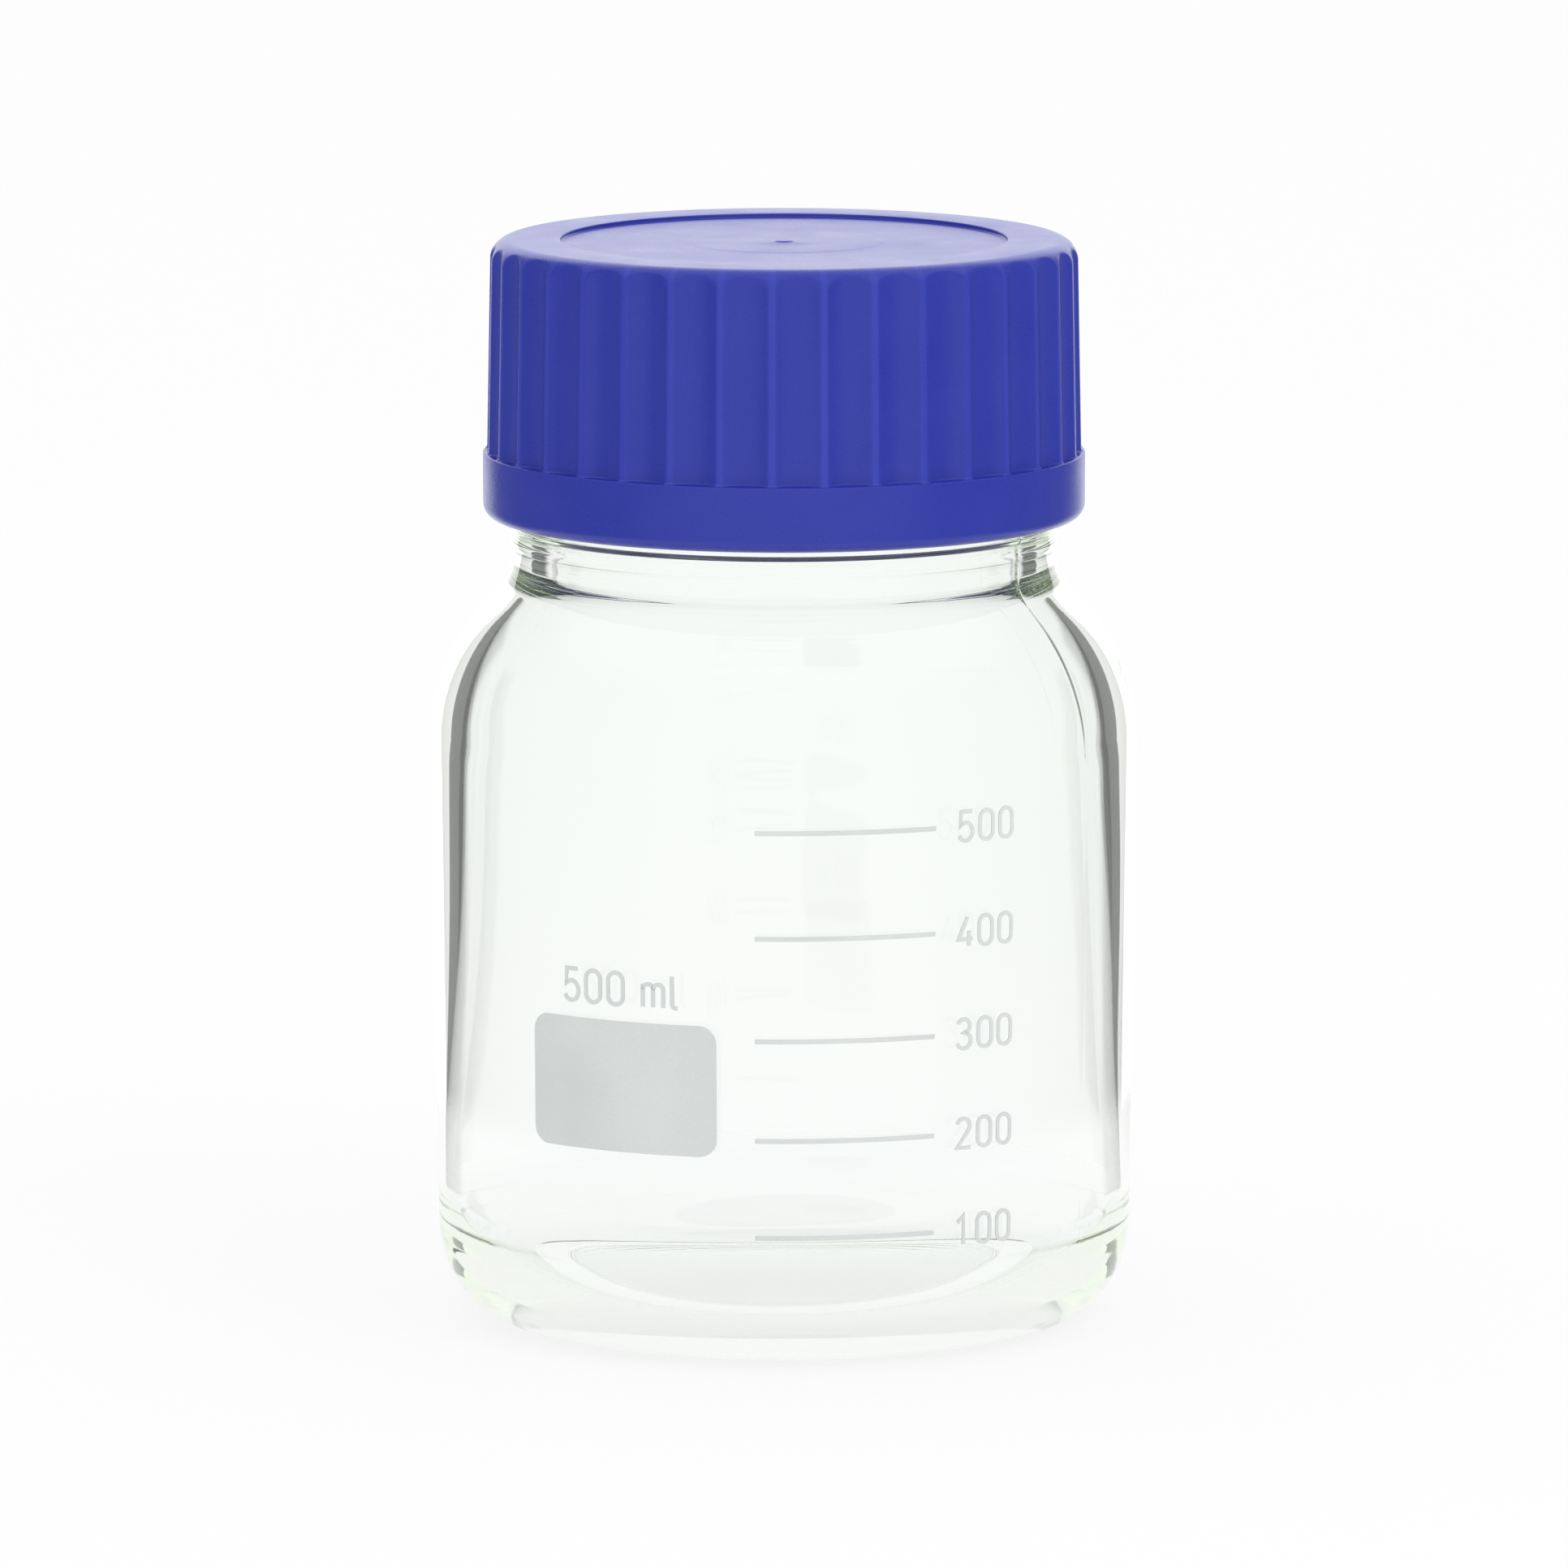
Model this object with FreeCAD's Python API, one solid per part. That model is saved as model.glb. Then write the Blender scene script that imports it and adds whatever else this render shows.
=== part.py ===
import FreeCAD
import Part
import math
import os

# Wide-mouth 500 ml reagent bottle with a quick-turn screw cap.
# Millimetres. The origin is the centre of the standing ring, +Z is up and the scale faces -Y.

# Glass body
GLASS_HEIGHT = 151.0
BODY_D = 101.0
FOOT_DRAW = 0.8
HEEL_WIDTH = 11.2
HEEL_HEIGHT = 14.2
STANDING_RING_WIDTH = 7.1
PUSH_UP = 3.8
SHOULDER_DROP = 67.5
SHOULDER_ROUND = 29.0
SHOULDER_LEAN = 43.0
NECK_ROUND = 5.0
SHOULDER_WALL = 5.0
FOOT_WALL = 1.4
FLOOR_EDGE = 3.0
FLOOR_THICKNESS = 2.8
INNER_HEEL_ROUND = 16.0
INNER_SHOULDER_RISE = 0.2
INNER_SHOULDER_ROUND = 26.0
INNER_SHOULDER_LEAN = 41.0
INNER_NECK_ROUND = 4.0
SHORTEST_LEAN = 0.001

# Neck finish: nominal 80 mm thread with four starts, so one turn frees the cap
THREAD_D = 80.0
THREAD_DEPTH = 2.0
THREAD_STARTS = 4
THREAD_PITCH = 5.0
THREAD_BASE_WIDTH = 2.8
THREAD_CREST_WIDTH = 1.2
THREAD_TURN = 255.0
THREAD_TOP_GAP = 1.9
THREAD_ROOTING = 0.5
NECK_STEP = 0.9
BEAD_RISE = 4.7
BEAD_HEIGHT = 2.2
BEAD_BULGE = 0.7
BEAD_TO_THREAD = 1.5
RIM_WALL = 2.8
RIM_GAP = 2.0
RIM_CONE = 1.6
RIM_ROUND = 0.8

# Snap-on pouring ring
RING_PLATE = 1.0
RING_WALL = 1.0
RING_SKIRT = 6.0
RING_LIP_EDGE = 0.5
RING_LIP_HEIGHT = 1.6
RING_LIP_OVERHANG = 0.5
SNAP_BULGE = 0.5
SNAP_HEIGHT = 1.2
SNAP_DROP = 2.4

# Sealing disc
SEAL_THICKNESS = 1.3
SEAL_EDGE_GAP = 0.8

# Cap
CAP_HEIGHT = 39.8
CAP_WALL = 1.2
CAP_ROOF = 1.6
RECESS_DEPTH = 0.6
TOP_LAND = 7.9
TOP_ROUND = 2.2
GRIP_DRAFT = 0.5
RIDGE_COUNT = 36
RIDGE_TURN = -2.3
FLUTE_DEPTH = 0.9
FLUTE_WIDTH = 6.2
BAND_HEIGHT = 9.4
BAND_STEP = 0.55
BAND_FLAT = 0.3
LEDGE_ROUND = 0.3
LEAD_IN = 0.3
CAP_THREAD_TURN = 200.0
CAP_THREAD_INSET = 7.1
RETAINER_WIDTH = 1.2
RETAINER_HEIGHT = 1.6
GATE_D = 2.6
GATE_HEIGHT = 0.3

# Fired enamel scale and writing panel, angles from the front (-Y) towards +X
ENAMEL = 0.1
MARK_COUNT = 5
MARK_STEP_ML = 100
MARK_DROP = 6.2
MARK_HEIGHT = 0.68
MARK_FROM = -4.7
MARK_TO = 25.0
PANEL_AT = -27.8
PANEL_WIDTH = 29.5
PANEL_HEIGHT = 18.7
PANEL_LOW_Z = 31.0
PANEL_ROUND = 2.5

# Fits
THREAD_GAP = 0.45
SLIDE_GAP = 0.4
SNAP_GAP = 0.2
RETAINER_GAP = 0.3
FILL_TOLERANCE = 0.001

# Radii and heights that follow from the sizes above
AXIS_Z = FreeCAD.Vector(0, 0, 1)
ORIGIN = FreeCAD.Vector(0, 0, 0)

BODY_R = BODY_D / 2
FOOT_R = BODY_R - FOOT_DRAW
SHOULDER_Z = GLASS_HEIGHT - SHOULDER_DROP
INNER_R = BODY_R - SHOULDER_WALL
INNER_FOOT_R = FOOT_R - FOOT_WALL
INNER_FOOT_Z = FLOOR_EDGE + INNER_HEEL_ROUND
INNER_SHOULDER_Z = SHOULDER_Z + INNER_SHOULDER_RISE
FLOOR_Z = PUSH_UP + FLOOR_THICKNESS

LEAD = THREAD_PITCH * THREAD_STARTS
CREST_R = THREAD_D / 2
ROOT_R = CREST_R - THREAD_DEPTH
NECK_R = ROOT_R + NECK_STEP
LAND_Z = GLASS_HEIGHT - RING_SKIRT - RIM_GAP
THREAD_LOW_Z = LAND_Z - RIM_CONE - THREAD_TOP_GAP - LEAD * THREAD_TURN / 360

RING_LIP_R = ROOT_R
RING_R = RING_LIP_R - RING_LIP_OVERHANG
RING_INNER_R = RING_R - RING_WALL
SNAP_R = RING_INNER_R - SNAP_GAP
RIM_R = SNAP_R - SNAP_BULGE
MOUTH_R = RIM_R - RIM_WALL
RING_TOP_Z = GLASS_HEIGHT + RING_PLATE

CAP_BORE_R = CREST_R + SLIDE_GAP
CAP_CREST_R = ROOT_R + SLIDE_GAP
ROOF_UNDER_Z = RING_TOP_Z + SEAL_THICKNESS
RECESS_Z = ROOF_UNDER_Z + CAP_ROOF
CAP_TOP_Z = RECESS_Z + RECESS_DEPTH
CAP_LOW_Z = CAP_TOP_Z - CAP_HEIGHT
BAND_TOP_Z = CAP_LOW_Z + BAND_HEIGHT
GRIP_R = CAP_BORE_R + CAP_WALL + FLUTE_DEPTH
GRIP_TOP_R = GRIP_R - GRIP_DRAFT
RECESS_R = GRIP_TOP_R - TOP_ROUND - TOP_LAND
BAND_R = GRIP_R + BAND_STEP
BAND_ROUND = BAND_R - BAND_FLAT - LEAD_IN - CAP_BORE_R
SEAL_R = CAP_BORE_R - SEAL_EDGE_GAP


def at(r, z):
    """A point of a section, r from the axis and z up."""
    return FreeCAD.Vector(r, 0, z)


def line(start, end):
    return Part.makeLine(start, end)


def arc(start, middle, end):
    return Part.Arc(start, middle, end).toShape()


def round_arc(r, z, radius, from_deg, to_deg):
    """An arc about (r, z) in the section plane, with 0 degrees pointing away from the axis."""
    points = []
    for turn in (from_deg, (from_deg + to_deg) / 2, to_deg):
        angle = math.radians(turn)
        points.append(at(r + radius * math.cos(angle), z + radius * math.sin(angle)))
    return arc(*points)


def heel_arc(r, z, width, height):
    """A quarter of an ellipse about (r, z), from its lowest point to its outermost point."""
    side = at(r + width, z)
    low = at(r, z - height)
    long_end, short_end = (low, side) if height > width else (side, low)
    curve = Part.Ellipse(long_end, short_end, at(r, z))
    return Part.ArcOfEllipse(curve, 0, math.pi / 2).toShape()


def dome_arc(top_z, edge_r, edge_z):
    """An arc that is level on the axis at top_z and falls to (edge_r, edge_z)."""
    rise = top_z - edge_z
    radius = (edge_r ** 2 + rise ** 2) / (2 * rise)
    middle_r = edge_r / 2
    middle_z = top_z - radius + math.sqrt(radius ** 2 - middle_r ** 2)
    return arc(at(0, top_z), at(middle_r, middle_z), at(edge_r, edge_z))


def s_curve(low_r, low_z, high_r, low_round, high_round, lean):
    """Two arcs and a leaning line that draw a wall in from low_r to high_r, and the height where they end.

    The lean is less where the arcs alone already reach high_r, and the line is then left out.
    """
    width = low_r - high_r
    rounds = low_round + high_round
    turn = min(math.radians(lean), math.acos(1 - width / rounds))
    slope_width = width - rounds * (1 - math.cos(turn))
    slope_rise = slope_width / math.tan(turn)
    high_z = low_z + rounds * math.sin(turn) + slope_rise
    lower = round_arc(low_r - low_round, low_z, low_round, 0, math.degrees(turn))
    upper = round_arc(high_r + high_round, high_z, high_round, 180 + math.degrees(turn), 180)
    slope = []
    if slope_width > SHORTEST_LEAN:
        slope.append(line(lower.Vertexes[1].Point, upper.Vertexes[0].Point))
    return [lower] + slope + [upper], high_z


def polyline(points):
    return [line(start, end) for start, end in zip(points, points[1:])]


def turned(edges):
    """The solid of a closed section turned round the axis."""
    wire = Part.Wire(Part.sortEdges(edges)[0])
    solid = Part.Face(wire).revolve(ORIGIN, AXIS_Z, 360)
    return solid if solid.Volume > 0 else solid.reversed()


def wall_r(z):
    """Outside radius of the body's slightly drawn-in wall at a height."""
    share = (z - HEEL_HEIGHT) / (SHOULDER_Z - HEEL_HEIGHT)
    return FOOT_R + (BODY_R - FOOT_R) * share


def thread_width(r):
    """Axial width of a glass thread ridge at a radius."""
    share = (r - ROOT_R) / THREAD_DEPTH
    return THREAD_BASE_WIDTH + (THREAD_CREST_WIDTH - THREAD_BASE_WIDTH) * share


def cap_thread_width(r):
    """Axial width of a cap thread ridge at a radius, what the glass ridges leave less the gaps."""
    return THREAD_PITCH - thread_width(r) - 2 * THREAD_GAP


def helical_ridges(base_r, crest_r, base_width, crest_width, low_z, start_deg, turn):
    """One right-handed ridge for each start, from low_z and start_deg up, over a turn in degrees."""
    path = Part.makeHelix(LEAD, LEAD * turn / 360, base_r)
    section = Part.makePolygon([
        at(base_r, -base_width / 2),
        at(crest_r, -crest_width / 2),
        at(crest_r, crest_width / 2),
        at(base_r, base_width / 2),
        at(base_r, -base_width / 2),
    ])
    ridge = Part.Wire(path).makePipeShell([section], True, True)
    ridge.translate(FreeCAD.Vector(0, 0, low_z))
    ridges = []
    for start in range(THREAD_STARTS):
        copy = ridge.copy()
        copy.rotate(ORIGIN, AXIS_Z, start_deg + start * 360 / THREAD_STARTS)
        ridges.append(copy)
    return ridges


def outside_of_glass():
    """Section edges from the axis under the base, up the outside to the rim."""
    stand_r = FOOT_R - HEEL_WIDTH
    stand_inner_r = stand_r - STANDING_RING_WIDTH
    shoulder, neck_z = s_curve(BODY_R, SHOULDER_Z, NECK_R, SHOULDER_ROUND, NECK_ROUND, SHOULDER_LEAN)
    bead_z = neck_z + BEAD_RISE
    bead_top_z = bead_z + BEAD_HEIGHT
    root_z = bead_top_z + BEAD_TO_THREAD
    snap_z = GLASS_HEIGHT - SNAP_DROP
    snap_low_z = snap_z - SNAP_HEIGHT
    edges = [dome_arc(PUSH_UP, stand_inner_r, 0)]
    edges.append(line(at(stand_inner_r, 0), at(stand_r, 0)))
    edges.append(heel_arc(stand_r, HEEL_HEIGHT, HEEL_WIDTH, HEEL_HEIGHT))
    edges.append(line(at(FOOT_R, HEEL_HEIGHT), at(BODY_R, SHOULDER_Z)))
    edges += shoulder
    edges.append(line(at(NECK_R, neck_z), at(NECK_R, bead_z)))
    bead_middle = at(NECK_R + BEAD_BULGE, (bead_z + bead_top_z) / 2)
    edges.append(arc(at(NECK_R, bead_z), bead_middle, at(NECK_R, bead_top_z)))
    edges += polyline([
        at(NECK_R, bead_top_z),
        at(ROOT_R, root_z),
        at(ROOT_R, LAND_Z - RIM_CONE),
        at(RIM_R, LAND_Z),
        at(RIM_R, snap_low_z),
    ])
    snap_middle = at(SNAP_R, (snap_low_z + snap_z) / 2)
    edges.append(arc(at(RIM_R, snap_low_z), snap_middle, at(RIM_R, snap_z)))
    edges.append(line(at(RIM_R, snap_z), at(RIM_R, GLASS_HEIGHT - RIM_ROUND)))
    edges.append(round_arc(RIM_R - RIM_ROUND, GLASS_HEIGHT - RIM_ROUND, RIM_ROUND, 0, 90))
    return edges


def floor_and_heel():
    """Section edges of the inside, from the middle of the floor to the top of the inner heel."""
    floor_r = INNER_FOOT_R - INNER_HEEL_ROUND
    floor = dome_arc(FLOOR_Z, floor_r, FLOOR_EDGE)
    return [floor, round_arc(floor_r, INNER_FOOT_Z, INNER_HEEL_ROUND, -90, 0)]


def inside_of_glass():
    """Section edges from the middle of the floor, up the inside to the rim."""
    shoulder, neck_z = s_curve(
        INNER_R, INNER_SHOULDER_Z, MOUTH_R, INNER_SHOULDER_ROUND, INNER_NECK_ROUND, INNER_SHOULDER_LEAN)
    edges = floor_and_heel()
    edges.append(line(at(INNER_FOOT_R, INNER_FOOT_Z), at(INNER_R, INNER_SHOULDER_Z)))
    edges += shoulder
    edges.append(line(at(MOUTH_R, neck_z), at(MOUTH_R, GLASS_HEIGHT - RIM_ROUND)))
    edges.append(round_arc(MOUTH_R + RIM_ROUND, GLASS_HEIGHT - RIM_ROUND, RIM_ROUND, 180, 90))
    return edges


def glass_bottle():
    """The blown glass: base, body, shoulder, neck bead, threaded neck and rim."""
    edges = outside_of_glass() + inside_of_glass()
    edges.append(line(at(RIM_R - RIM_ROUND, GLASS_HEIGHT), at(MOUTH_R + RIM_ROUND, GLASS_HEIGHT)))
    edges.append(line(at(0, FLOOR_Z), at(0, PUSH_UP)))
    rooted_r = ROOT_R - THREAD_ROOTING
    ridges = helical_ridges(
        rooted_r, CREST_R, thread_width(rooted_r), THREAD_CREST_WIDTH, THREAD_LOW_Z, 0, THREAD_TURN)
    return turned(edges).fuse(ridges)


def pouring_ring():
    """A ring that covers the rim, snaps under its bead and ends in a drip lip."""
    skirt_z = GLASS_HEIGHT - RING_SKIRT
    lip_z = RING_TOP_Z - RING_LIP_HEIGHT
    hook_top_z = GLASS_HEIGHT - SNAP_DROP - SNAP_HEIGHT
    hook_low_z = hook_top_z - SNAP_HEIGHT
    section = [
        at(MOUTH_R, GLASS_HEIGHT),
        at(MOUTH_R, RING_TOP_Z),
        at(RING_LIP_R, RING_TOP_Z),
        at(RING_LIP_R, RING_TOP_Z - RING_LIP_EDGE),
        at(RING_R, lip_z),
        at(RING_R, skirt_z),
        at(RING_INNER_R, skirt_z),
        at(RING_INNER_R, hook_low_z),
        at(RIM_R + SNAP_GAP, (hook_low_z + hook_top_z) / 2),
        at(RING_INNER_R, hook_top_z),
        at(RING_INNER_R, GLASS_HEIGHT),
        at(MOUTH_R, GLASS_HEIGHT),
    ]
    return turned(polyline(section))


def cap_seal():
    """A flat sealing disc between the pouring ring and the cap's roof."""
    return Part.makeCylinder(SEAL_R, SEAL_THICKNESS, at(0, RING_TOP_Z))


def cap_shell():
    """The cap without its grip flutes and thread."""
    retainer_r = CAP_BORE_R - RETAINER_WIDTH
    retainer_top_z = RING_TOP_Z - RETAINER_GAP
    retainer_low_z = retainer_top_z - RETAINER_HEIGHT
    edges = [round_arc(BAND_R - BAND_ROUND, CAP_LOW_Z + BAND_ROUND, BAND_ROUND, -90, 0)]
    edges.append(line(at(BAND_R, CAP_LOW_Z + BAND_ROUND), at(BAND_R, BAND_TOP_Z - LEDGE_ROUND)))
    edges.append(round_arc(BAND_R - LEDGE_ROUND, BAND_TOP_Z - LEDGE_ROUND, LEDGE_ROUND, 0, 90))
    edges += polyline([
        at(BAND_R - LEDGE_ROUND, BAND_TOP_Z),
        at(GRIP_R, BAND_TOP_Z),
        at(GRIP_TOP_R, CAP_TOP_Z - TOP_ROUND),
    ])
    edges.append(round_arc(GRIP_TOP_R - TOP_ROUND, CAP_TOP_Z - TOP_ROUND, TOP_ROUND, 0, 90))
    edges += polyline([
        at(GRIP_TOP_R - TOP_ROUND, CAP_TOP_Z),
        at(RECESS_R, CAP_TOP_Z),
        at(RECESS_R, RECESS_Z),
        at(GATE_D / 2, RECESS_Z),
        at(GATE_D / 2, RECESS_Z + GATE_HEIGHT),
        at(0, RECESS_Z + GATE_HEIGHT),
        at(0, ROOF_UNDER_Z),
        at(CAP_BORE_R, ROOF_UNDER_Z),
        at(CAP_BORE_R, retainer_top_z),
        at(retainer_r, retainer_top_z),
        at(CAP_BORE_R, retainer_low_z),
        at(CAP_BORE_R, CAP_LOW_Z + LEAD_IN),
        at(CAP_BORE_R + LEAD_IN, CAP_LOW_Z),
        at(BAND_R - BAND_ROUND, CAP_LOW_Z),
    ])
    return turned(edges)


def grip_flutes():
    """The shallow hollows between the grip ridges, which run out through the rounded top edge."""
    radius = (FLUTE_WIDTH ** 2 / 4 + FLUTE_DEPTH ** 2) / (2 * FLUTE_DEPTH)
    lean = math.atan(GRIP_DRAFT / (CAP_TOP_Z - TOP_ROUND - BAND_TOP_Z))
    foot = at(GRIP_R - FLUTE_DEPTH + radius, BAND_TOP_Z)
    up = FreeCAD.Vector(-math.sin(lean), 0, math.cos(lean))
    shaft = Part.makeCylinder(radius, CAP_HEIGHT, foot, up)
    band = Part.makeCylinder(foot.x + 2 * radius, BAND_TOP_Z)
    flute = shaft.cut(band)
    pitch = 360 / RIDGE_COUNT
    flutes = []
    for number in range(RIDGE_COUNT):
        copy = flute.copy()
        copy.rotate(ORIGIN, AXIS_Z, -90 + RIDGE_TURN + (number + 0.5) * pitch)
        flutes.append(copy)
    return flutes


def screw_cap():
    """The moulded cap, in mesh with the glass thread when it is closed."""
    base_r = CAP_BORE_R + THREAD_ROOTING
    low_z = CAP_LOW_Z + CAP_THREAD_INSET
    start_deg = (low_z - THREAD_LOW_Z + THREAD_PITCH / 2) / LEAD * 360
    ridges = helical_ridges(
        base_r, CAP_CREST_R, cap_thread_width(base_r), cap_thread_width(CAP_CREST_R),
        low_z, start_deg, CAP_THREAD_TURN)
    return cap_shell().cut(grip_flutes()).fuse(ridges)


def bowl_volume():
    """Volume inside the bottle up to the top of the inner heel."""
    edges = floor_and_heel()
    edges += polyline([at(INNER_FOOT_R, INNER_FOOT_Z), at(0, INNER_FOOT_Z), at(0, FLOOR_Z)])
    return turned(edges).Volume


def volume_below(z, bowl):
    """Volume inside the bottle up to a height on its straight wall."""
    rise = z - INNER_FOOT_Z
    share = rise / (INNER_SHOULDER_Z - INNER_FOOT_Z)
    surface_r = INNER_FOOT_R + (INNER_R - INNER_FOOT_R) * share
    squares = INNER_FOOT_R ** 2 + INNER_FOOT_R * surface_r + surface_r ** 2
    return bowl + math.pi * rise / 3 * squares


def fill_height(volume, bowl):
    """Height of the surface when the bottle holds a volume, up to the shoulder."""
    low, high = INNER_FOOT_Z, INNER_SHOULDER_Z
    while high - low > FILL_TOLERANCE:
        middle = (low + high) / 2
        if volume_below(middle, bowl) < volume:
            low = middle
        else:
            high = middle
    return low


def scale_heights():
    """Each mark's label and height, in equal steps of volume up to the top mark under the shoulder."""
    bowl = bowl_volume()
    full = volume_below(SHOULDER_Z - MARK_DROP, bowl)
    marks = []
    for number in range(1, MARK_COUNT + 1):
        marks.append((number * MARK_STEP_ML, fill_height(full * number / MARK_COUNT, bowl)))
    return marks


def enamel_layer(low_z, high_z, turn):
    """Enamel on the body's wall between two heights, over a turn in degrees from the X axis."""
    edges = polyline([
        at(wall_r(low_z), low_z),
        at(wall_r(low_z) + ENAMEL, low_z),
        at(wall_r(high_z) + ENAMEL, high_z),
        at(wall_r(high_z), high_z),
        at(wall_r(low_z), low_z),
    ])
    return Part.Face(Part.Wire(edges)).revolve(ORIGIN, AXIS_Z, turn)


def graduation(z):
    """One scale mark, a bar round the front of the body."""
    mark = enamel_layer(z - MARK_HEIGHT / 2, z + MARK_HEIGHT / 2, MARK_TO - MARK_FROM)
    mark.rotate(ORIGIN, AXIS_Z, -90 + MARK_FROM)
    return mark


def writing_panel():
    """The rounded enamel field for notes, left of the scale."""
    half_turn = PANEL_WIDTH / 2 / wall_r(PANEL_LOW_Z + PANEL_HEIGHT / 2)
    layer = enamel_layer(PANEL_LOW_Z - PANEL_ROUND, PANEL_LOW_Z + PANEL_HEIGHT + PANEL_ROUND, 180)
    layer.rotate(ORIGIN, AXIS_Z, -90)
    chord = 2 * wall_r(PANEL_LOW_Z) * math.sin(half_turn)
    outline = Part.makeBox(BODY_D, chord, PANEL_HEIGHT, FreeCAD.Vector(0, -chord / 2, PANEL_LOW_Z))
    along = [edge for edge in outline.Edges if edge.BoundBox.XLength > PANEL_HEIGHT]
    field = layer.common(outline.makeFillet(PANEL_ROUND, along))
    field.rotate(ORIGIN, AXIS_Z, -90 + PANEL_AT)
    return field


def main():
    os.makedirs("parts", exist_ok=True)
    nodes = {
        "glass_bottle": glass_bottle(),
        "pouring_ring": pouring_ring(),
        "cap_seal": cap_seal(),
        "screw_cap": screw_cap(),
        "writing_panel": writing_panel(),
    }
    for millilitres, z in scale_heights():
        nodes["graduation_%d" % millilitres] = graduation(z)
    for name, shape in nodes.items():
        shape.exportStep("parts/%s.step" % name)
        box = shape.optimalBoundingBox()
        print(name, len(shape.Solids), shape.isValid(), round(shape.Volume, 1),
              [round(v, 2) for v in (box.XMin, box.YMin, box.ZMin, box.XMax, box.YMax, box.ZMax)])


main()
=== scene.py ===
import math

import bpy
import numpy as np
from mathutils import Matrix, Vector


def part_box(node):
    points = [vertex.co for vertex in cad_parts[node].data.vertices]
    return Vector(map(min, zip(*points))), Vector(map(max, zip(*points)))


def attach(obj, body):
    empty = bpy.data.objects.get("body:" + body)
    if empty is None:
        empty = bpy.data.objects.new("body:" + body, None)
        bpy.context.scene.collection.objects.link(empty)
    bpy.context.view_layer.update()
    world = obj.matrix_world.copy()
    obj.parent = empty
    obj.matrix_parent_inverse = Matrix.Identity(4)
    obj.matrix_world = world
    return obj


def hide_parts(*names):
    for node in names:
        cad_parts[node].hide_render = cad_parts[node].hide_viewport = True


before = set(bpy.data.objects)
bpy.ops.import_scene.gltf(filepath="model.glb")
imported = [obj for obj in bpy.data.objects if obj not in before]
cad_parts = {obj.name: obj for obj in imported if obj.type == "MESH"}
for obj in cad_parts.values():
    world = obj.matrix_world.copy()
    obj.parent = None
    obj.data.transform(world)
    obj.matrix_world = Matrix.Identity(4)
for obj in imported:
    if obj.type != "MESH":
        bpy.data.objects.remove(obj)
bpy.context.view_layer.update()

# A clear 500 ml reagent bottle with a ribbed blue screw cap, seen from the front and a little above.
# Sizes are in millimetres and become metres when a mesh is made. The scale faces -Y and +Z is up.
# An _EDGE or _FOOT with pairs softens a corner: each pair is a point's radius and height from that corner.

MM = 0.001
POLE_R = 1e-6
SHORTEST = 1e-9

# Glass
GLASS_HEIGHT = 151.0
BODY_R = 50.5
FOOT_R = 49.7
SHOULDER_Z = 83.5
HEEL_WIDTH = 11.2
HEEL_HEIGHT = 14.2
STAND_R = 38.5
STAND_INNER_R = 31.4
STAND_INNER_EDGE = ((-0.3, 0.06), (0.2, 0.012), (0.9, 0.0))
STAND_OUTER_EDGE = 0.6
PUSH_UP = 3.8
SHOULDER_ROUND = 29.0
SHOULDER_LEAN = 43.0
NECK_ROUND = 5.0
NECK_R = 38.9
PARTING_RISE = 2.2
PARTING_HEIGHT = 1.4
PARTING_BULGE = 0.16
PARTING_SHARPNESS = 0.7
BEAD_RISE = 4.7
BEAD_HEIGHT = 2.2
BEAD_MARGIN = 0.4
BEAD_BULGE = 0.5
BEAD_SHARPNESS = 1.3
BEAD_TO_THREAD = 1.5
ROOT_R = 38.0
ROOT_TOP_Z = 141.4
LAND_Z = 143.0
RIM_R = 35.8
SNAP_R = 36.3
SNAP_LOW_Z = 147.4
SNAP_HIGH_Z = 148.6
RIM_ROUND = 0.8
MOUTH_R = 33.0
INNER_R = 45.5
INNER_SHOULDER_Z = 83.7
INNER_SHOULDER_ROUND = 26.0
INNER_SHOULDER_LEAN = 41.0
INNER_NECK_ROUND = 4.0
INNER_FOOT_R = 48.3
INNER_FOOT_Z = 19.0
INNER_HEEL_ROUND = 16.0
FLOOR_EDGE_Z = 3.0
FLOOR_Z = 6.6
# Waves of the inner wall: height, number round the axis, climb for each millimetre, and start
WAVES = ((0.10, 2, 0.07, 0.4), (0.05, 3, -0.12, 2.0))
WAVES_ABOVE_SHOULDER = 8.0
WAVES_FADE = 20.0
WAVES_FULL_R = 30.0
# Mould seams: angle from the front towards +X, and share of the full height
SEAM_AT = {58.0: 1.0, 238.0: 0.15}
SEAM_HALF_WIDTH = 0.8
SEAM_HEIGHT = 0.12
SEAM_ON_BODY = 0.06
SEAM_COLUMNS = (-1, -0.7, -0.45, -0.2, 0.2, 0.45, 0.7, 1)
SEAM_RISE_BELOW_SHOULDER = 4
SEAM_RISE = 14.0

# Points in the glass: columns round the axis, and rows along each stretch of its section
GLASS_COLUMNS = 240
DOME_ROWS = 26
HEEL_ROWS = 30
WALL_ROWS = 30
SHOULDER_ROWS = 18
LEAN_ROWS = 8
PARTING_ROWS = 9
PARTING_TO_BEAD_ROWS = 2
BEAD_ROWS = 15
BEAD_TO_THREAD_ROWS = 4
ROOT_ROWS = 66
RIM_CONE_ROWS = 5
LAND_ROWS = 4
SNAP_ROWS = 9
RIM_ROWS = 2
RIM_ROUND_ROWS = 7
MOUTH_ROWS = 10
INNER_WALL_ROWS = 34
INNER_HEEL_ROWS = 22

# Thread, four starts
STARTS = 4
LEAD = 20.0
THREAD_DEPTH = 2.0
THREAD_BASE = 2.8
THREAD_CREST = 1.2
THREAD_LOW_Z = 125.33
THREAD_TURN = 255.0
THREAD_RUN_OUT = 14.0
THREAD_ROWS_BELOW_BAND = 4

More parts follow.
